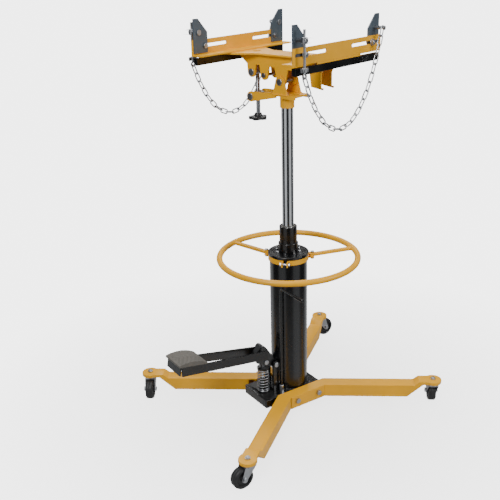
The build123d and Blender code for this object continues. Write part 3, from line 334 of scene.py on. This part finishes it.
def worked(node, edge, sharp=32.0):
    """A node's surface with its sharp edges rounded, standing for the node."""
    piece = finish_piece(merged(node), f"{node}_worked", slot_of[node], body_of[node], sharp)
    if edge:
        rounding = piece.modifiers.new("Rounded edges", "BEVEL")
        rounding.width = edge
        rounding.segments = 2
        rounding.limit_method = "ANGLE"
        rounding.angle_limit = radians(sharp)
        rounding.use_clamp_overlap = False
        rounding.harden_normals = True
    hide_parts(node)
    return piece


def coat(node):
    """Give a node its finish and leave its shape."""
    slots = nodes[node].data.materials
    slots.clear()
    slots.append(finishes[slot_of[node]])


def untagged(mesh):
    """The vertices that put() hasn't moved yet."""
    return [vert for vert in mesh.verts if not vert.tag]


def put(mesh, place, fresh):
    """Move those vertices to their place and tag them as done."""
    bmesh.ops.transform(mesh, matrix=place, verts=fresh)
    for vert in fresh:
        vert.tag = True


def turned(mesh, profile, place, steps=48):
    """Spin an outline of (radius, height) points about the upright axis, then put it in place."""
    points = [mesh.verts.new((radius, 0, height)) for radius, height in profile]
    lines = [mesh.edges.new(pair) for pair in zip(points, points[1:])]
    bmesh.ops.spin(
        mesh, geom=points + lines, cent=(0, 0, 0), axis=Z, angle=2 * pi, steps=steps, use_merge=True)
    bmesh.ops.remove_doubles(mesh, verts=untagged(mesh), dist=weld_gap)
    put(mesh, place, untagged(mesh))


def helix(mesh, radius, wire, pitch, turns, place, sides=8, steps=24):
    """Screw a round wire up the upright axis and close both its ends."""
    ring = bmesh.ops.create_circle(
        mesh, segments=sides, radius=wire, cap_ends=True,
        matrix=Matrix.Translation((radius, 0, 0)) @ Matrix.Rotation(radians(90), 4, "X"))["verts"]
    face = ring[0].link_faces[0]
    bmesh.ops.spin(
        mesh, geom=[face], cent=(0, 0, 0), axis=Z, dvec=(0, 0, pitch / steps),
        angle=2 * pi * turns, steps=int(steps * turns))
    put(mesh, place, untagged(mesh))


def outward(mesh):
    """The mesh with its faces pointing out."""
    bmesh.ops.recalc_face_normals(mesh, faces=mesh.faces)
    return mesh


# ---- pieces ----------------------------------------------------------------------------------

class Maker(bpy.types.Operator):
    """Base of the operators that make pieces."""
    bl_idname = "jack.maker"
    bl_label = "Maker"
    bl_options = {"REGISTER", "UNDO"}

    def execute(self, context):
        self.make(context.scene.jack_sizes)
        return {"FINISHED"}


class JACK_OT_finishes(Maker):
    """Mix the paints, platings and mouldings"""
    bl_idname = "jack.finishes"
    bl_label = "Finishes"

    def make(self, sizes):
        make_finishes(bpy.context.scene.jack_colours)
        for node in nodes:
            coat(node)


class JACK_OT_base(Maker):
    """Leg frames, block and their bolts, with rounded steel edges"""
    bl_idname = "jack.base"
    bl_label = "Base frame"

    def make(self, sizes):
        for node in ("leg_frame_left", "leg_frame_right", "base_block"):
            worked(node, 2 * sizes.edge)
        worked("frame_bolts", sizes.edge)


class JACK_OT_hydraulics(Maker):
    """Tank, flange, neck and ram"""
    bl_idname = "jack.hydraulics"
    bl_label = "Tank and ram"

    def make(self, sizes):
        for node in ("reservoir_tube", "top_flange", "neck_sleeve", "neck_screws", "ram",
                     "release_valve"):
            worked(node, sizes.edge)
        worked("release_rod", 0)
        for node in ("rod_wiper", "pressure_cylinder", "piston", "guide_bush"):
            worked(node, 0)


class JACK_OT_pump(Maker):
    """Pump cylinder, plunger, post, pins and the return spring"""
    bl_idname = "jack.pump"
    bl_label = "Pump"

    def make(self, sizes):
        for node in ("pump_cylinder", "pump_plunger", "spring_cap", "fulcrum_post", "fulcrum_pin",
                     "plunger_pin"):
            worked(node, sizes.edge)
        low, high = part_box("pump_spring")
        centre = middle("pump_spring")
        wire = 0.002
        radius = (high[0] - low[0]) / 2 - wire
        rise = high[2] - low[2] - 2 * wire
        closed_turns = 1.25
        closed_pitch = 2.05 * wire
        open_turns = 7.0
        open_pitch = (rise - 2 * closed_turns * closed_pitch) / open_turns
        mesh = bmesh.new()
        start = Matrix.Translation((centre.x, centre.y, low[2] + wire))
        closed = (closed_pitch, closed_turns)
        for pitch, turns in (closed, (open_pitch, open_turns), closed):
            helix(mesh, radius, wire, pitch, turns, start, sides=12, steps=32)
            climb = Matrix.Translation((0, 0, pitch * turns))
            start = start @ climb @ Matrix.Rotation(2 * pi * turns, 4, "Z")
        spring = finish_piece(outward(mesh), "return_spring", "zinc", None, 60)
        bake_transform(spring)
        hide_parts("pump_spring")


class JACK_OT_pedal(Maker):
    """Pedal arms, knuckle and the arched rubber pad"""
    bl_idname = "jack.pedal"
    bl_label = "Pedal"

    def make(self, sizes):
        for node in ("pedal_arms", "pedal_knuckle", "foot_plate"):
            worked(node, sizes.edge)
        grooves_along = 6.5
        chevron_lean = 2.2
        pad = merged("pedal_pad")
        low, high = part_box("pedal_pad")
        for way, cuts in ((0, 28), (1, 26)):
            for cut in range(1, cuts):
                spot = [0, 0, 0]
                spot[way] = low[way] + (high[way] - low[way]) * cut / cuts
                facing = [0, 0, 0]
                facing[way] = 1
                everything = pad.verts[:] + pad.edges[:] + pad.faces[:]
                bmesh.ops.bisect_plane(pad, geom=everything, plane_co=spot, plane_no=facing)
        for vert in pad.verts:
            along = (vert.co.x - low[0]) / (high[0] - low[0])
            across = abs(vert.co.y) / high[1]
            inside = 0.08 < along < 0.95 and across < 0.93
            chevron = cos(2 * pi * (grooves_along * along + chevron_lean * across))
            if vert.normal.z > 0.5 and inside and chevron < -0.2:
                vert.co.z -= sizes.groove
        piece = finish_piece(outward(pad), "pedal_tread", "grey_rubber", "pedal", 40)
        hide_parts("pedal_pad")


class JACK_OT_handle(Maker):
    """Ring handle with its clamp band and bolts"""
    bl_idname = "jack.handle"
    bl_label = "Ring handle"

    def make(self, sizes):
        for node in ("handle_ring", "clamp_band", "clamp_bolts"):
            worked(node, sizes.edge)


class JACK_OT_casters(Maker):
    """Forks, races and moulded wheels"""
    bl_idname = "jack.casters"
    bl_label = "Casters"

    def make(self, sizes):
        worked("caster_races", sizes.edge)
        worked("king_bolts", sizes.edge)
        for corner in corners:
            worked(f"caster_fork_{corner}", sizes.edge)
            worked(f"caster_axle_{corner}", sizes.edge)
            self.wheel(corner)

    def wheel(self, corner):
        """Tread, moulding lines, a recessed web and a hub, turned from one outline."""
        roll = joint(f"roll_{corner}")
        centre = Vector(roll["pos_m"])
        axis = Vector(roll["axis"])
        outer = centre.z
        half = 0.014
        bore = 0.00505
        hub = 0.0115
        rim = 0.0262
        seam = 0.0006
        profile = [
            (bore, -half), (hub - 0.001, -half), (hub, -half + 0.001), (hub + 0.0003, -half + 0.005),
            (rim - 0.0017, -half + 0.0055), (rim, -half + 0.0008), (rim + 0.0018, -half),
            (outer - 0.005, -half), (outer - 0.0018, -half + 0.0018), (outer - 0.0003, -half + 0.0052),
            (outer, -half + 0.009), (outer, -seam), (outer - 0.0005, 0.0),
        ]
        profile += [(radius, -height) for radius, height in reversed(profile[:-1])]
        profile.append(profile[0])
        mesh = bmesh.new()
        place = Matrix.Translation(centre) @ axis.to_track_quat("Z", "Y").to_matrix().to_4x4()
        turned(mesh, profile, place, 72)
        piece = finish_piece(outward(mesh), f"wheel_{corner}", "wheel_black", f"wheel_{corner}", 40)
        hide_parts(f"caster_wheel_{corner}")


class JACK_OT_tilt_screw(Maker):
    """Tilting base, trunnions, threaded screw and star knob"""
    bl_idname = "jack.tilt_screw"
    bl_label = "Tilt screw"

    def make(self, sizes):
        for node in ("tilt_base", "tilt_pin", "lower_trunnion", "upper_trunnion"):
            worked(node, sizes.edge)
        worked("tilt_screw", 0)
        screw_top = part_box("tilt_screw")[1][2]
        knob_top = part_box("tilt_knob")[1][2]
        centre = middle("tilt_screw")
        root = 0.0066
        crest = 0.0007
        plain_end = 0.004
        turns = (screw_top - knob_top - plain_end) / sizes.thread
        start = Matrix.Translation((centre.x, centre.y, knob_top + 0.001))
        mesh = bmesh.new()
        helix(mesh, root, crest, sizes.thread, turns, start, sides=5, steps=20)
        finish_piece(outward(mesh), "tilt_thread", "zinc", "screw", 50)
        self.knob()

    def knob(self):
        """A five-lobed knob with a domed face and a stepped hub."""
        low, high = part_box("tilt_knob")
        centre = middle("tilt_knob")
        place = Matrix.Translation((centre.x, centre.y, low[2]))
        height = high[2] - low[2]
        reach = 0.033
        lobes = 5
        lobe_depth = 0.115
        foot = 0.003
        star = bmesh.new()
        circle = bmesh.ops.create_circle(star, segments=100, radius=1.0, cap_ends=True)["verts"]
        for count, vert in enumerate(circle):
            turn = 2 * pi * count / len(circle)
            radius = reach * (1 - lobe_depth + lobe_depth * cos(lobes * turn))
            vert.co = (radius * cos(turn), radius * sin(turn), foot)
        bmesh.ops.inset_region(star, faces=circle[0].link_faces[:1], thickness=foot, depth=foot)
        for scale, rise in ((1.0, 0.008), (0.95, 0.0015), (0.86, 0.0006), (0.45, 0.0)):
            made = bmesh.ops.extrude_edge_only(star, edges=self.rim(star))["geom"]
            ring = [part for part in made if isinstance(part, bmesh.types.BMVert)]
            bmesh.ops.translate(star, verts=ring, vec=(0, 0, rise))
            bmesh.ops.scale(star, verts=ring, vec=(scale, scale, 1.0))
        bmesh.ops.holes_fill(star, edges=self.rim(star))
        put(star, place, star.verts[:])
        collar = [(0.0, 0.009), (0.014, 0.009), (0.014, 0.016), (0.0128, height - 0.003),
                  (0.011, height - 0.0005), (0.0, height - 0.0005)]
        turned(star, collar, place, 40)
        piece = finish_piece(outward(star), "star_knob", "black_plastic", "screw", 40)
        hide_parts("tilt_knob")

    def rim(self, mesh):
        """The edges round the mesh's open side."""
        return [edge for edge in mesh.edges if edge.is_boundary]


class JACK_OT_saddle(Maker):
    """Saddle plate, rails, a black backing under the rails that is painted shade standing for their shadow,
    brackets and bolts
    """
    bl_idname = "jack.saddle"
    bl_label = "Saddle"

    def make(self, sizes):
        # rail_backing is painted shade: a black piece that follows each rail's outline just below it, standing
        # where the rails' shadow falls.
        for node in ("saddle_plate", "saddle_rails", "rail_backing", "rear_brackets",
                     "front_bracket_left", "front_bracket_right", "saddle_bolts",
                     "hook_rod_left", "hook_rod_right"):
            worked(node, sizes.edge)


class JACK_OT_chains(Maker):
    """Tie chains, rebuilt from the imported chain meshes and shaded smooth, fixed in place"""
    bl_idname = "jack.chains"
    bl_label = "Chains"

    def make(self, sizes):
        hook_reach = 0.198
        rear = head @ Vector((hook_reach, 0, 0))
        front = head @ Vector((-hook_reach, 0, 0))
        for side in ("left", "right"):
            piece = finish_piece(merged(f"chain_{side}"), f"tie_chain_{side}", "zinc", None, 70)
            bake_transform(piece)
            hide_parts(f"chain_{side}")


class JACK_OT_welds(Maker):
    """Weld beads along the joints of the pressed steel"""
    bl_idname = "jack.welds"
    bl_label = "Welds"

    def bead(self, mesh, start, end, size):
        """Overlapping drops from start to end."""
        start, end = Vector(start), Vector(end)
        run = (end - start).length
        count = max(2, int(run / (0.8 * size)))
        lean = (end - start).to_track_quat("X", "Z").to_matrix().to_4x4()
        for step in range(count + 1):
            spot = start.lerp(end, step / count)
            wobble = 1.0 + 0.12 * sin(2.9 * step)
            place = Matrix.Translation(spot) @ lean @ Matrix.Diagonal((0.8, wobble, wobble, 1))
            bmesh.ops.create_icosphere(mesh, subdivisions=1, radius=size, matrix=place)

    def ring(self, mesh, radius, height, size):
        """Overlapping drops round the upright axis."""
        count = int(2 * pi * radius / (0.8 * size))
        for step in range(count):
            turn = 2 * pi * step / count
            place = Matrix.Translation((radius * cos(turn), radius * sin(turn), height))
            place = place @ Matrix.Rotation(turn + pi / 2, 4, "Z") @ Matrix.Diagonal((0.8, 1, 1, 1))
            bmesh.ops.create_icosphere(mesh, subdivisions=1, radius=size, matrix=place)

    def seams(self, name, body, reach, runs, height, size):
        """Straight beads on both sides of the head's middle, from front to rear."""
        mesh = bmesh.new()
        for side in (-1, 1):
            for front, rear in runs:
                start = head @ Vector((side * reach, front, height))
                end = head @ Vector((side * reach, rear, height))
                self.bead(mesh, start, end, size)
        finish_piece(outward(mesh), name, "yellow_paint", body, 60)

    def make(self, sizes):
        tank_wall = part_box("reservoir_tube")[1][0]
        block_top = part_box("base_block")[1][2]
        proud = 0.0006
        mesh = bmesh.new()
        self.ring(mesh, tank_wall + proud, block_top + proud, sizes.bead)
        finish_piece(outward(mesh), "tank_weld", "black_paint", "base", 60)
        cheek_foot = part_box("tilt_base")[0][2] + 0.046
        plate_underside = 1.2775
        small = 0.8 * sizes.bead
        self.seams("tilt_base_weld", "tilt_base_body", 0.0385, ((-0.03, 0.03),), cheek_foot, small)
        ear_runs = ((-0.18, -0.04), (0.03, 0.1))
        self.seams("saddle_weld", "saddle", 0.031, ear_runs, plate_underside, small)


class JACK_OT_stage(Maker):
    """Pale floor, soft studio light and the camera"""
    bl_idname = "jack.stage"
    bl_label = "Stage"

    def make(self, sizes):
        target = Vector((0, 0, 0.7))
        self.floor()
        bpy.context.scene.world = self.world()
        for name, spot, size, power in (
            ("key", (-2.8, -1.6, 3.2), 1.2, 92.0),
            ("fill", (1.9, -2.9, 2.0), 1.0, 55.0),
            ("back", (1.6, 2.6, 3.2), 1.2, 40.0),
            ("top", (0.0, 0.0, 4.2), 2.0, 60.0),
        ):
            light = bpy.data.lights.new(name, "AREA")
            light.size = size
            light.energy = power
            lamp = bpy.data.objects.new(name, light)
            lamp.location = spot
            aim = target - Vector(spot)
            lamp.rotation_euler = aim.to_track_quat("-Z", "Y").to_euler()
            bpy.context.scene.collection.objects.link(lamp)
        self.camera(sizes.lens)

    def floor(self):
        """A disc that holds soft shadows and fades out into the backdrop."""
        radius = 2.4
        below = 0.0005
        fade_start = 0.35
        fade_end = 1.3
        strength = 0.4
        mesh = bmesh.new()
        bmesh.ops.create_circle(mesh, cap_ends=True, segments=96, radius=radius)
        bmesh.ops.translate(mesh, verts=mesh.verts, vec=(0, 0, -below))
        finish = Finish("Pale floor", (0.9, 0.9, 0.9), 0.7)
        away = finish.node("ShaderNodeVectorMath", {"operation": "LENGTH"}, {0: finish.place}, "Value")
        finish.feed("Alpha", finish.band(away, fade_end, fade_start) * strength)
        data = bpy.data.meshes.new("floor")
        mesh.to_mesh(data)
        mesh.free()
        data.materials.append(finish.material)
        disc = bpy.data.objects.new("floor", data)
        bpy.context.scene.collection.objects.link(disc)

    def world(self):
        """White behind the jack, and dark and bright panels all round it for the metal to mirror."""
        panel_count = 4.0
        first_panel = 0.6
        darkest = 0.04
        panel_strength = 0.62
        paper_strength = 4.5
        world = bpy.data.worlds.new("Studio")
        world.use_nodes = True
        tree = world.node_tree
        panels = tree.nodes["Background"]
        paper = tree.nodes.new("ShaderNodeBackground")
        paper.inputs["Color"].default_value = (1.0, 1.0, 1.0, 1.0)
        paper.inputs["Strength"].default_value = paper_strength
        place = tree.nodes.new("ShaderNodeTexCoord")
        parts = tree.nodes.new("ShaderNodeSeparateXYZ")
        tree.links.new(place.outputs["Generated"], parts.inputs[0])
        bearing = Wire(tree, parts.outputs["Y"]).angle(Wire(tree, parts.outputs["X"]))
        wave = (bearing * panel_count + first_panel).sine()
        bright = (wave * 2.0 + 0.5).at_least(darkest).at_most(1.0)
        tree.links.new((bright * panel_strength).socket, panels.inputs["Strength"])
        panels.inputs["Color"].default_value = (0.95, 0.98, 1.0, 1.0)
        seen = tree.nodes.new("ShaderNodeLightPath")
        choice = tree.nodes.new("ShaderNodeMixShader")
        tree.links.new(seen.outputs["Is Camera Ray"], choice.inputs[0])
        tree.links.new(panels.outputs[0], choice.inputs[1])
        tree.links.new(paper.outputs[0], choice.inputs[2])
        tree.links.new(choice.outputs[0], tree.nodes["World Output"].inputs[0])
        return world

    def camera(self, lens):
        """Eye level a little above the saddle, on the pedal's side and turned towards -Y."""
        azimuth = radians(36.25)
        distance = 2.588
        height = 1.619
        pitch = radians(21.36)
        yaw = radians(-2.996)
        roll = radians(-1.533)
        ahead = Vector((sin(azimuth), cos(azimuth), 0))
        right = Vector((cos(azimuth), -sin(azimuth), 0))
        level = cos(yaw) * ahead + sin(yaw) * right
        side = cos(yaw) * right - sin(yaw) * ahead
        look = cos(pitch) * level - sin(pitch) * Z
        up = cos(pitch) * Z + sin(pitch) * level
        across = cos(roll) * side + sin(roll) * up
        upward = cos(roll) * up - sin(roll) * side
        data = bpy.data.cameras.new("view")
        data.lens = lens
        data.sensor_width = 36.0
        camera = bpy.data.objects.new("view", data)
        turn = Matrix((across, upward, -look)).transposed().to_4x4()
        camera.matrix_world = Matrix.Translation(-distance * ahead + height * Z) @ turn
        bpy.context.scene.collection.objects.link(camera)
        bpy.context.scene.camera = camera


# ---- add-on ----------------------------------------------------------------------------------

steps = (
    JACK_OT_finishes, JACK_OT_base, JACK_OT_hydraulics, JACK_OT_pump, JACK_OT_pedal, JACK_OT_handle,
    JACK_OT_casters, JACK_OT_tilt_screw, JACK_OT_saddle, JACK_OT_chains, JACK_OT_welds, JACK_OT_stage,
)


class JACK_PT_panel(bpy.types.Panel):
    """The jack's pieces and settings"""
    bl_idname = "JACK_PT_panel"
    bl_label = "Transmission jack"
    bl_space_type = "VIEW_3D"
    bl_region_type = "UI"
    bl_category = "Jack"

    def draw(self, context):
        for group in (context.scene.jack_sizes, context.scene.jack_colours):
            for key in group.__annotations__:
                self.layout.prop(group, key)
        for step in steps:
            self.layout.operator(step.bl_idname)


def register():
    for part in (JackSizes, JackColours, *steps, JACK_PT_panel):
        bpy.utils.register_class(part)
    bpy.types.Scene.jack_sizes = bpy.props.PointerProperty(type=JackSizes)
    bpy.types.Scene.jack_colours = bpy.props.PointerProperty(type=JackColours)


def unregister():
    del bpy.types.Scene.jack_colours
    del bpy.types.Scene.jack_sizes
    for part in (JACK_PT_panel, *reversed(steps), JackColours, JackSizes):
        bpy.utils.unregister_class(part)


def main():
    register()
    for step in steps:
        group, name = step.bl_idname.split(".")
        getattr(getattr(bpy.ops, group), name)()


if __name__ == "__main__":
    main()
